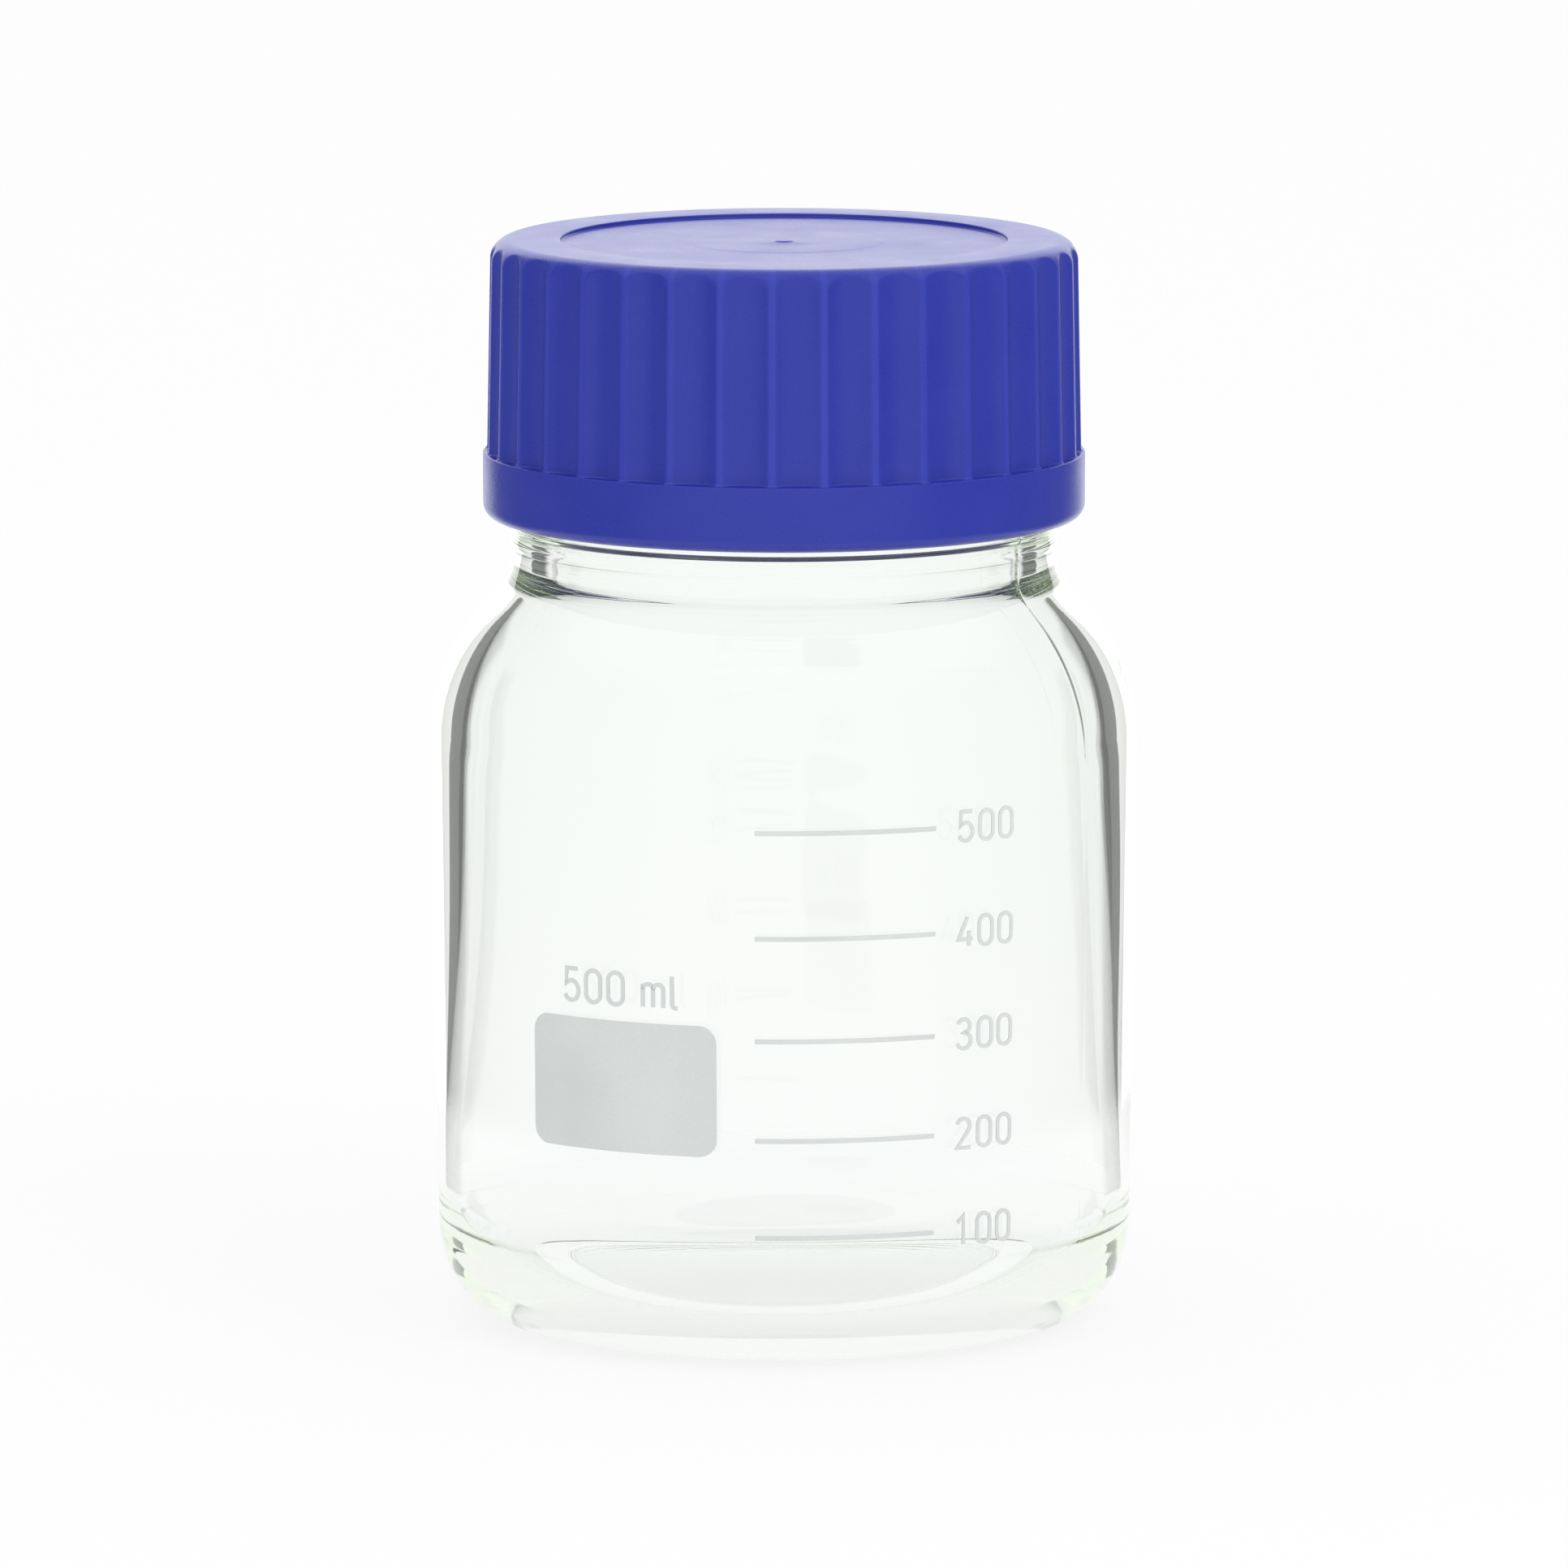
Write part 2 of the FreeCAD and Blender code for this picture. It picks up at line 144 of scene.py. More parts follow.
# Cap
CAP_LOW_Z = 115.7
CAP_TOP_Z = 155.5
BAND_R = 43.05
BAND_TOP_Z = 125.1
BAND_ROUND = 2.05
LEDGE_ROUND = 0.3
GRIP_R = 42.5
GRIP_TOP_R = 42.0
TOP_ROUND = 3.0
RIDGES = 36
RIDGE_TURN = -2.3
FLUTE_DEPTH = 0.9
FLUTE_WIDTH = 6.75
FLUTE_FOOT = 0.5
FLUTE_COLUMNS = (0.0, 1.2, 2.3, 3.2, 3.8)
FLUTE_EDGE_COLUMNS = (-0.35, -0.1, 0.12, 0.28)
RIDGE_SOFTNESS = 0.16
# Painted highlight on the cap's ridges: how far inside the flute's edge it starts, and how many degrees it
# takes to come in
RIDGE_HIGHLIGHT_FROM = 0.5
RIDGE_HIGHLIGHT_WIDTH = 0.6
LAND_MIDDLE_R = 36.0
RECESS_R = 31.9
RECESS_Z = 154.9
RECESS_ROUND = 0.25
RECESS_MIDDLE_R = 24.0
DISC_R = 13.9
DISC_STEP = 0.1
DISC_STEP_SHARES = ((0.6, 0.0), (0.2, 0.25), (-0.2, 0.75), (-0.6, 1.0))
DISC_MIDDLE_R = 7.0
GATE_R = 1.3
GATE_HEIGHT = 0.3
GATE_FOOT = ((0.25, 0.0), (0.06, 0.06))
GATE_EDGE = ((-0.05, -0.06), (-0.3, 0.0))
GATE_DIP = 0.04
ROOF_Z = 153.3
ROOF_MIDDLE_R = 20.0
ROOF_EDGE = ((-0.4, 0.0), (-0.1, -0.1), (0.0, -0.4))
BORE_R = 40.4
RETAINER_R = 39.2
RETAINER_TOP_Z = 151.7
RETAINER_LOW_Z = 150.1
RETAINER_EDGE = ((0.25, 0.0), (0.0, -0.25), (0.2, -0.55))
RETAINER_ROOT = 0.1
BORE_HIGH_Z = 140.0
BORE_LOW_Z = 128.0
LEAD_IN = 0.3
CAP_THREAD_CREST_R = 38.4
CAP_THREAD_LOW_Z = 122.8
CAP_THREAD_FROM = -0.6
CAP_THREAD_TURN = 200.0
CAP_THREAD_BASE = 3.22
CAP_THREAD_CREST = 1.62
CAP_THREAD_ROOT = 0.3
CAP_THREAD_EDGE_R = 0.25
CAP_THREAD_EDGE = 0.2
CAP_THREAD_ROWS = 101
CAP_THREAD_RUN_OUT = 10.0
CAP_THREAD_END = 0.05
CAP_THREAD_END_WIDTH = 0.3
CAP_JOIN = 0.000004
CAP_THREAD_JOIN = 0.000001

# Rows of points in the cap's section
BAND_ROWS = 9
LEDGE_ROWS = 6
FLUTE_FOOT_ROWS = 7
GRIP_ROWS = 7
TOP_ROUND_ROWS = 16
RECESS_ROWS = 5

# Pouring ring and sealing disc
RING_LOW_Z = 145.0
RING_TOP_Z = 152.0
RING_R = 37.5
RING_INNER_R = 36.5
RING_LIP_R = 38.0
RING_HOOK_R = 36.05
RING_HOOK_Z = (146.2, 146.7, 146.9, 147.4)
RING_PLATE_MIDDLE_R = 35.0
RING_MOUTH_EDGE = ((0.0, -0.3), (0.09, -0.09), (0.3, 0.0))
RING_LIP_EDGE = ((-0.2, 0.0), (-0.06, -0.06), (0.0, -0.2), (0.0, -0.45), (-0.1, -0.7))
RING_LIP_FOOT = ((0.06, -1.4), (0.0, -1.7))
RING_FOOT_EDGE = ((0.0, 0.25), (-0.08, 0.06), (-0.25, 0.0))
RING_INNER_EDGE = ((0.2, 0.0), (0.0, 0.2))
RING_COLUMNS = 180
SEAL_R = 39.6
SEAL_MIDDLE_R = 30.0
SEAL_EDGE = ((-0.3, 0.0), (-0.09, 0.09), (0.0, 0.3))
SEAL_COLUMNS = 144

# Enamel lettering
ENAMEL = 0.1
ENAMEL_ROOT = 0.02
NUMERAL_HEIGHT = 4.75
NUMERAL_FROM = 28.9
NUMERAL_STROKE = 0.58
NUMERAL_GAP = 1.25
CAPACITY_HEIGHT = 5.15
CAPACITY_FROM = -38.3
CAPACITY_Z = 54.3
CAPACITY_STROKE = 0.62
CAPACITY_GAP = 1.3
SHARPEST_MITRE = 0.3
LONGEST_MITRE = 1.8

# Finishes: how much noise and the painted highlight on the cap's ridges change a colour's share or the
# roughness
NOISE_MEAN = 0.5
MOTTLE_SHARE = 0.25
GRAIN_SHARE = 0.35
RIDGE_HIGHLIGHT_SHARE = 0.3
PLAIN_SHARE = 0.35
MOTTLE_GLOSS = 0.12
GRAIN_GLOSS = 0.1
SEAL_ROUGHNESS = 0.55
SEAL_GLOSS = 0.2
ENAMEL_ROUGHNESS = 0.5
ENAMEL_GLOSS = 0.25
CLOUD_SHARE = 0.7
SMEAR_ROUGHNESS = 0.012
CAP_ROUGHNESS = 0.3
RING_ROUGHNESS = 0.34


def smooth_step(x):
    x = np.clip(x, 0.0, 1.0)
    return x * x * (3 - 2 * x)


def arc(r, z, radius, from_deg, to_deg, count):
    """Section points on an arc about (r, z), with 0 degrees pointing away from the axis."""
    turns = np.radians(np.linspace(from_deg, to_deg, count))
    return [(r + radius * math.cos(t), z + radius * math.sin(t)) for t in turns]


def run(start, end, count):
    """Section points on a straight line, without its start."""
    return [(start[0] + (end[0] - start[0]) * s, start[1] + (end[1] - start[1]) * s)
            for s in np.linspace(0, 1, count + 1)[1:]]


def dome(top_z, edge_r, edge_z, count):
    """Section points on an arc that is level on the axis and falls to its edge."""
    rise = top_z - edge_z
    radius = (edge_r ** 2 + rise ** 2) / (2 * rise)
    radii = edge_r * np.sin(np.linspace(0, math.pi / 2, count))
    return [(r, top_z - radius + math.sqrt(radius ** 2 - r ** 2)) for r in radii]


def s_curve(low_r, low_z, high_r, low_round, high_round, lean, count):
    """Section points of two arcs and a leaning line that draw a wall in, and the height where they end."""
    turn = math.radians(lean)
    rounds = low_round + high_round
    line_width = low_r - high_r - rounds * (1 - math.cos(turn))
    high_z = low_z + rounds * math.sin(turn) + line_width / math.tan(turn)
    points = arc(low_r - low_round, low_z, low_round, 0, lean, count)
    upper = arc(high_r + high_round, high_z, high_round, 180 + lean, 180, count)
    points += run(points[-1], upper[0], LEAN_ROWS) + upper[1:]
    return points, high_z


def wall_r(z):
    """Outside radius of the slightly drawn-in body at a height."""
    return FOOT_R + (BODY_R - FOOT_R) * (z - HEEL_HEIGHT) / (SHOULDER_Z - HEEL_HEIGHT)


def around(centre, offsets):
    """Section points at offsets from a point."""
    return [(centre[0] + r, centre[1] + z) for r, z in offsets]


def new_piece(name, points, faces, finish):
    """A smooth-shaded mesh object at the origin, from points in millimetres."""
    mesh = bpy.data.meshes.new(name)
    mesh.from_pydata([tuple(p) for p in np.asarray(points) * MM], [], faces)
    mesh.polygons.foreach_set("use_smooth", [True] * len(mesh.polygons))
    mesh.materials.append(finish)
    mesh.update()
    piece = bpy.data.objects.new(name, mesh)
    bpy.context.scene.collection.objects.link(piece)
    return piece


def skin(rows, wraps, closes):
    """Points and outward faces of a net of rows, each a list of points. A row of one point is a pole."""
    points = []
    numbers = []
    for row in rows:
        numbers.append(range(len(points), len(points) + len(row)))
        points += row
    pairs = list(zip(numbers, numbers[1:]))
    if closes:
        pairs.append((numbers[-1], numbers[0]))
    faces = []
    for low, high in pairs:
        columns = max(len(low), len(high))
        for k in range(columns if wraps else columns - 1):
            after = (k + 1) % columns
            if len(low) == 1:
                faces.append((low[0], high[after], high[k]))
            elif len(high) == 1:
                faces.append((low[k], low[after], high[0]))
            else:
                faces.append((low[k], low[after], high[after], high[k]))
    return points, faces


def turned_rows(section, turns, shape=None):
    """Rows of points for a section turned round the axis, with radii reshaped by angle and height."""
    rows = []
    for number, (r, z) in enumerate(section):
        if r < POLE_R:
            rows.append([(0.0, 0.0, z)])
            continue
        radii = np.full(len(turns), r)
        if shape is not None:
            radii = shape(number, radii, turns, z)
        rows.append([(q * math.cos(t), q * math.sin(t), z) for q, t in zip(radii, turns)])
    return rows


class Value:
    """An output in a node tree. Arithmetic on it adds Math nodes."""

    def __init__(self, graph, socket):
        self.graph = graph
        self.socket = socket

    def maths(self, operation, *inputs):
        return self.graph.add("ShaderNodeMath", {"operation": operation}, dict(enumerate(inputs)))

    def __add__(self, other):
        return self.maths("ADD", self, other)

    def __radd__(self, other):
        return self.maths("ADD", other, self)

    def __sub__(self, other):
        return self.maths("SUBTRACT", self, other)

    def __rsub__(self, other):
        return self.maths("SUBTRACT", other, self)

    def __mul__(self, other):
        return self.maths("MULTIPLY", self, other)

    def __rmul__(self, other):
        return self.maths("MULTIPLY", other, self)

    def __truediv__(self, other):
        return self.maths("DIVIDE", self, other)

    def __abs__(self):
        return self.maths("ABSOLUTE", self)

    def between(self, low, high):
        """0 below low, 1 above high and smooth between."""
        return self.graph.add("ShaderNodeMapRange", {"interpolation_type": "SMOOTHSTEP"},
                              {"Value": self, "From Min": low, "From Max": high})


class Graph:
    """A node tree that is filled by one call for each node."""

    def __init__(self, tree):
        self.tree = tree
        tree.nodes.clear()

    def add(self, kind, settings, inputs, output=0):
        node = self.tree.nodes.new(kind)
        for name, value in settings.items():
            setattr(node, name, value)
        for name, value in inputs.items():
            if isinstance(value, Value):
                self.tree.links.new(value.socket, node.inputs[name])
            else:
                node.inputs[name].default_value = value
        return Value(self, node.outputs[output]) if node.outputs else None

    def noise(self, place, scale, detail):
        return self.add("ShaderNodeTexNoise", {}, {"Vector": place, "Scale": scale, "Detail": detail})

    def bump(self, height, distance, strength):
        return self.add("ShaderNodeBump", {}, {"Height": height, "Distance": distance, "Strength": strength})

    def tint(self, share, low, high):
        """A colour between two colours."""
        return self.add("ShaderNodeMix", {"data_type": "RGBA"}, {0: share, 6: low, 7: high}, 2)


def new_finish(name):
    finish = bpy.data.materials.new(name)
    finish.use_nodes = True
    return finish, Graph(finish.node_tree)


def colour(r, g, b):
    """A colour given in 8-bit display values, as shader values."""
    parts = [v / 255 for v in (r, g, b)]
    return tuple(v / 12.92 if v <= 0.04045 else ((v + 0.055) / 1.055) ** 2.4 for v in parts) + (1.0,)


def clear_glass():
    """Borosilicate: clear, faintly green where light runs along inside it, and a little uneven."""
    finish, graph = new_finish("clear_glass")
    place = graph.add("ShaderNodeTexCoord", {}, {}, "Object")
    long_waves = graph.noise(place, scale=38.0, detail=1.0)
    normal = graph.bump(long_waves, distance=0.0003, strength=0.08)
    smears = graph.noise(place, scale=90.0, detail=3.0)
    roughness = smears.between(0.55, 0.8) * SMEAR_ROUGHNESS
    surface = graph.add("ShaderNodeBsdfPrincipled", {}, {
        "Base Color": (0.985, 0.995, 0.99, 1.0),
        "Roughness": roughness,
        "IOR": 1.473,
        "Transmission Weight": 1.0,
        "Normal": normal,
    })
    inside = graph.add("ShaderNodeVolumeAbsorption", {}, {
        "Color": (0.86, 0.97, 0.76, 1.0),
        "Density": 11.0,
    })
    graph.add("ShaderNodeOutputMaterial", {}, {"Surface": surface, "Volume": inside})
    return finish


def moulded_plastic(name, deep, light, roughness):
    """Satin moulded plastic: fine spark-eroded grain, faint flow streaks and a painted highlight along the
    cap's ridges.
    """
    finish, graph = new_finish(name)
    place = graph.add("ShaderNodeTexCoord", {}, {}, "Object")
    mottle = graph.noise(place, scale=120.0, detail=3.0)
    grain = graph.noise(place, scale=4200.0, detail=2.0)
    # Painted highlight: paler colour along the cap's ridges, where the light catches them
    edge = graph.add("ShaderNodeAttribute", {"attribute_name": "painted_ridge_highlight"}, {}, "Fac")
    mottle_off, grain_off = mottle - NOISE_MEAN, grain - NOISE_MEAN
    share = mottle_off * MOTTLE_SHARE + grain_off * GRAIN_SHARE + edge * RIDGE_HIGHLIGHT_SHARE + PLAIN_SHARE
    base = graph.tint(share.between(0.0, 1.0), deep, light)
    normal = graph.bump(grain, distance=0.00006, strength=0.35)
    gloss = roughness + mottle_off * MOTTLE_GLOSS + grain_off * GRAIN_GLOSS
    surface = graph.add("ShaderNodeBsdfPrincipled", {}, {
        "Base Color": base,
        "Roughness": gloss,
        "IOR": 1.49,
        "Normal": normal,
    })
    graph.add("ShaderNodeOutputMaterial", {}, {"Surface": surface})
    return finish


def seal_silicone():
    """Off-white silicone with a fine matt skin."""
    finish, graph = new_finish("seal_silicone")
    place = graph.add("ShaderNodeTexCoord", {}, {}, "Object")
    clouds = graph.noise(place, scale=70.0, detail=3.0)
    skin_grain = graph.noise(place, scale=2600.0, detail=2.0)
    base = graph.tint(clouds, colour(222, 222, 216), colour(236, 236, 231))
    surface = graph.add("ShaderNodeBsdfPrincipled", {}, {
        "Base Color": base,
        "Roughness": SEAL_ROUGHNESS + (skin_grain - NOISE_MEAN) * SEAL_GLOSS,
        "Normal": graph.bump(skin_grain, distance=0.00005, strength=0.4),
    })
    graph.add("ShaderNodeOutputMaterial", {}, {"Surface": surface})
    return finish


def fired_enamel():
    """Pale grey screen-printed enamel, slightly uneven in thickness and gloss."""
    finish, graph = new_finish("fired_enamel")
    place = graph.add("ShaderNodeTexCoord", {}, {}, "Object")
    clouds = graph.noise(place, scale=60.0, detail=3.0)
    mesh_grain = graph.noise(place, scale=3000.0, detail=2.0)
    share = clouds * CLOUD_SHARE + mesh_grain * (1 - CLOUD_SHARE)
    base = graph.tint(share.between(0.3, 0.7), colour(212, 216, 215), colour(221, 225, 224))
    surface = graph.add("ShaderNodeBsdfPrincipled", {}, {
        "Base Color": base,
        "Roughness": ENAMEL_ROUGHNESS + (mesh_grain - NOISE_MEAN) * ENAMEL_GLOSS,
        "Normal": graph.bump(mesh_grain, distance=0.00004, strength=0.3),
    })
    graph.add("ShaderNodeOutputMaterial", {}, {"Surface": surface})
    return finish


def glass_section():
    """Section of the glass from under the base up the outside, over the rim and down the inside."""
    points = dome(PUSH_UP, STAND_INNER_R, 0.0, DOME_ROWS)[:-2]
    points += around((STAND_INNER_R, 0.0), STAND_INNER_EDGE)
    points.append((STAND_R - STAND_OUTER_EDGE, 0.0))
    heel = np.radians(np.linspace(0, 90, HEEL_ROWS))
    points += [(STAND_R + HEEL_WIDTH * math.sin(t), HEEL_HEIGHT * (1 - math.cos(t))) for t in heel]
    points += run((FOOT_R, HEEL_HEIGHT), (BODY_R, SHOULDER_Z), WALL_ROWS)
    shoulder, neck_z = s_curve(
        BODY_R, SHOULDER_Z, NECK_R, SHOULDER_ROUND, NECK_ROUND, SHOULDER_LEAN, SHOULDER_ROWS)
    points += shoulder[1:]
    bead_z = neck_z + BEAD_RISE
    parting_z = neck_z + PARTING_RISE
    points.append((NECK_R, parting_z))
    for s in np.linspace(0, 1, PARTING_ROWS)[1:]:
        bulge = PARTING_BULGE * math.sin(math.pi * s) ** PARTING_SHARPNESS
        points.append((NECK_R + bulge, parting_z + PARTING_HEIGHT * s))
    points += run(points[-1], (NECK_R, bead_z - BEAD_MARGIN), PARTING_TO_BEAD_ROWS)
    for rise in np.linspace(-BEAD_MARGIN, BEAD_HEIGHT + BEAD_MARGIN, BEAD_ROWS):
        s = np.clip(rise / BEAD_HEIGHT, 0, 1)
        bulge = BEAD_BULGE * math.sin(math.pi * s) ** BEAD_SHARPNESS
        points.append((NECK_R + bulge, bead_z + rise))
    root_z = bead_z + BEAD_HEIGHT + BEAD_TO_THREAD
    points += run(points[-1], (ROOT_R, root_z), BEAD_TO_THREAD_ROWS)
    points += run((ROOT_R, root_z), (ROOT_R, ROOT_TOP_Z), ROOT_ROWS)
    points += run((ROOT_R, ROOT_TOP_Z), (RIM_R, LAND_Z), RIM_CONE_ROWS)
    points += run((RIM_R, LAND_Z), (RIM_R, SNAP_LOW_Z), LAND_ROWS)
    for t in np.linspace(0, math.pi, SNAP_ROWS)[1:]:
        bulge = (SNAP_R - RIM_R) * math.sin(t)
        points.append((RIM_R + bulge, SNAP_LOW_Z + (SNAP_HIGH_Z - SNAP_LOW_Z) * t / math.pi))
    rim_z = GLASS_HEIGHT - RIM_ROUND
    points += run((RIM_R, SNAP_HIGH_Z), (RIM_R, rim_z), RIM_ROWS)
    points += arc(RIM_R - RIM_ROUND, rim_z, RIM_ROUND, 0, 90, RIM_ROUND_ROWS)[1:]
    outside = len(points)
    points += arc(MOUTH_R + RIM_ROUND, rim_z, RIM_ROUND, 90, 180, RIM_ROUND_ROWS)
    inner, inner_neck_z = s_curve(
        INNER_R, INNER_SHOULDER_Z, MOUTH_R,
        INNER_SHOULDER_ROUND, INNER_NECK_ROUND, INNER_SHOULDER_LEAN, SHOULDER_ROWS)
    points += run(points[-1], (MOUTH_R, inner_neck_z), MOUTH_ROWS)
    points += inner[::-1][1:]
    points += run((INNER_R, INNER_SHOULDER_Z), (INNER_FOOT_R, INNER_FOOT_Z), INNER_WALL_ROWS)
    floor_r = INNER_FOOT_R - INNER_HEEL_ROUND
    points += arc(floor_r, INNER_FOOT_Z, INNER_HEEL_ROUND, 0, -90, INNER_HEEL_ROWS)[1:]
    points += dome(FLOOR_Z, floor_r, FLOOR_EDGE_Z, DOME_ROWS)[::-1][1:]
    return points, outside


def thread_height(turns, z):
    """Height of the glass thread over its root, by angle and height, with ends that run out."""
    height = np.zeros(len(turns))
    for start in range(STARTS):
        since = np.degrees(turns) - start * 360 / STARTS
        for lap in (-1, 0, 1, 2):
            along = since + lap * 360
            off = np.abs(z - THREAD_LOW_Z - LEAD * along / 360)
            flank = (THREAD_BASE / 2 - off) / ((THREAD_BASE - THREAD_CREST) / 2)
            ends = smooth_step(along / THREAD_RUN_OUT) * smooth_step((THREAD_TURN - along) / THREAD_RUN_OUT)
            height = np.maximum(height, THREAD_DEPTH * smooth_step(flank) * ends)
    return height


def seam_height(turns):
    """Height of the two mould seams by angle from the front towards +X."""
    height = np.zeros(len(turns))
    for seam, share in SEAM_AT.items():
        off = (np.degrees(turns) + 90 - seam + 180) % 360 - 180
        height += share * np.exp(-(off / (SEAM_HALF_WIDTH / 2)) ** 2)
    return SEAM_HEIGHT * height


def glass_bottle(finish):
    """The blown body, with its thread, mould seams and a slightly uneven inner wall."""
    section, outside = glass_section()
    seam_columns = [seam - 90 + off * SEAM_HALF_WIDTH for seam in SEAM_AT for off in SEAM_COLUMNS]
    even_columns = np.arange(GLASS_COLUMNS) * 360 / GLASS_COLUMNS
    columns = np.concatenate([even_columns, np.array(seam_columns) % 360])
    turns = np.radians(np.unique(np.round(columns, 4)))
    waves_top_z = SHOULDER_Z + WAVES_ABOVE_SHOULDER

    def shape(number, radii, turns, z):
        if number < outside:
            if BAND_TOP_Z - THREAD_ROWS_BELOW_BAND < z < ROOT_TOP_Z:
                return radii + thread_height(turns, z)
            if HEEL_HEIGHT / 2 < z < CAP_LOW_Z:
                share = smooth_step((z - SHOULDER_Z + SEAM_RISE_BELOW_SHOULDER) / SEAM_RISE)
                rise = SEAM_ON_BODY + (1 - SEAM_ON_BODY) * share
                return np.minimum(radii + rise * seam_height(turns), BODY_R)
            return radii
        if z > waves_top_z:
            return radii
        waves = sum(height * np.sin(count * turns + z * climb + start) for height, count, climb, start in WAVES)
        reach = smooth_step(radii / WAVES_FULL_R) * smooth_step((waves_top_z - z) / WAVES_FADE)
        return radii + waves * reach

    points, faces = skin(turned_rows(section, turns, shape), True, False)
    return new_piece("bottle_glass", points, faces, finish)


def cap_section():
    """Three stretches of the cap's section: the band, the fluted grip, and the top with the inside."""
    band = arc(BAND_R - BAND_ROUND, CAP_LOW_Z + BAND_ROUND, BAND_ROUND, -90, 0, BAND_ROWS)
    band.append((BAND_R, (CAP_LOW_Z + BAND_TOP_Z) / 2))
    band += arc(BAND_R - LEDGE_ROUND, BAND_TOP_Z - LEDGE_ROUND, LEDGE_ROUND, 0, 90, LEDGE_ROWS)

    grip = []
    for turn in np.radians(np.linspace(0, 90, FLUTE_FOOT_ROWS)):
        foot_r = GRIP_R + FLUTE_FOOT * (1 - math.sin(turn))
        grip.append((foot_r, BAND_TOP_Z + FLUTE_FOOT * (1 - math.cos(turn))))
    straight_top = CAP_TOP_Z - TOP_ROUND
    grip += run((GRIP_R, BAND_TOP_Z + FLUTE_FOOT), (GRIP_TOP_R, straight_top), GRIP_ROWS)
    grip += arc(GRIP_TOP_R - TOP_ROUND, straight_top, TOP_ROUND, 0, 90, TOP_ROUND_ROWS)[1:]

    edge = RECESS_ROUND
    gate_z = RECESS_Z + GATE_HEIGHT
    disc_z = RECESS_Z + DISC_STEP
    rest = [(LAND_MIDDLE_R, CAP_TOP_Z)]
    rest += arc(RECESS_R + edge, CAP_TOP_Z - edge, edge, 90, 180, RECESS_ROWS)
    rest += arc(RECESS_R - edge, RECESS_Z + edge, edge, 0, -90, RECESS_ROWS)
    rest.append((RECESS_MIDDLE_R, RECESS_Z))
    rest += [(DISC_R + r, RECESS_Z + DISC_STEP * share) for r, share in DISC_STEP_SHARES]
    rest.append((DISC_MIDDLE_R, disc_z))
    rest += around((GATE_R, disc_z), GATE_FOOT) + around((GATE_R, gate_z), GATE_EDGE)
    rest += [(0.0, gate_z - GATE_DIP), (0.0, ROOF_Z), (ROOF_MIDDLE_R, ROOF_Z)]
    rest += around((BORE_R, ROOF_Z), ROOF_EDGE)
    rest.append((BORE_R, RETAINER_TOP_Z + RETAINER_ROOT))
    rest += around((RETAINER_R, RETAINER_TOP_Z), RETAINER_EDGE)
    rest += [(BORE_R, z) for z in (RETAINER_LOW_Z, BORE_HIGH_Z, BORE_LOW_Z, CAP_LOW_Z + LEAD_IN)]
    rest.append((BORE_R + LEAD_IN, CAP_LOW_Z))
    return band, grip, rest


def soft_min(a, b, softness):
    """The smaller of two, with the corner between them rounded."""
    mix = np.clip(0.5 + 0.5 * (b - a) / softness, 0.0, 1.0)
    return b + (a - b) * mix - softness * mix * (1 - mix)


def grip_sector(finish):
    """One ridge-to-ridge sector of the cap, with its flute in the middle and a painted highlight on its ridges.
    """
    half = 180 / RIDGES
    flute_edge = math.degrees(math.asin(FLUTE_WIDTH / 2 / GRIP_R))
    right = list(FLUTE_COLUMNS) + [flute_edge + off for off in FLUTE_EDGE_COLUMNS] + [half]
    turns = np.radians([-t for t in right[:0:-1]] + right)
    radius = (FLUTE_WIDTH ** 2 / 4 + FLUTE_DEPTH ** 2) / (2 * FLUTE_DEPTH)
    band, grip, rest = cap_section()
    section = [(point, False) for point in band]
    section += [(point, True) for point in grip]
    section += [(point, False) for point in rest]
    rows = []
    edges = []
    for (r, z), fluted in section:
        if r < POLE_R:
            rows.append([(0.0, 0.0, z)])
            edges.append(0.0)
            continue
        radii = np.full(len(turns), r)
        painted_highlight = np.zeros(len(turns))
        if fluted:
            drawn = (z - BAND_TOP_Z) / (CAP_TOP_Z - TOP_ROUND - BAND_TOP_Z)
            centre = GRIP_R - FLUTE_DEPTH + radius - (GRIP_R - GRIP_TOP_R) * drawn
            hollow = centre * np.cos(turns) - np.sqrt(radius ** 2 - (centre * np.sin(turns)) ** 2)
            foot = max(r - GRIP_R, 0.0)
            radii = soft_min(np.full(len(turns), r), hollow + foot, RIDGE_SOFTNESS)
            radii = np.minimum(radii, BAND_R - LEDGE_ROUND)
            # Painted highlight: the ridges on either side of the flute are made paler
            painted_highlight = smooth_step((np.abs(np.degrees(turns)) - flute_edge + RIDGE_HIGHLIGHT_FROM) / RIDGE_HIGHLIGHT_WIDTH)
        rows.append([(q * math.cos(t), q * math.sin(t), z) for q, t in zip(radii, turns)])
        edges += list(painted_highlight)
    points, faces = skin(rows, False, True)
    sector = new_piece("cap_sector", points, faces, finish)
    # The painted ridge highlight is kept on the points for the cap's finish
    attribute = sector.data.attributes.new("painted_ridge_highlight", "FLOAT", "POINT")
    attribute.data.foreach_set("value", edges)
    return sector


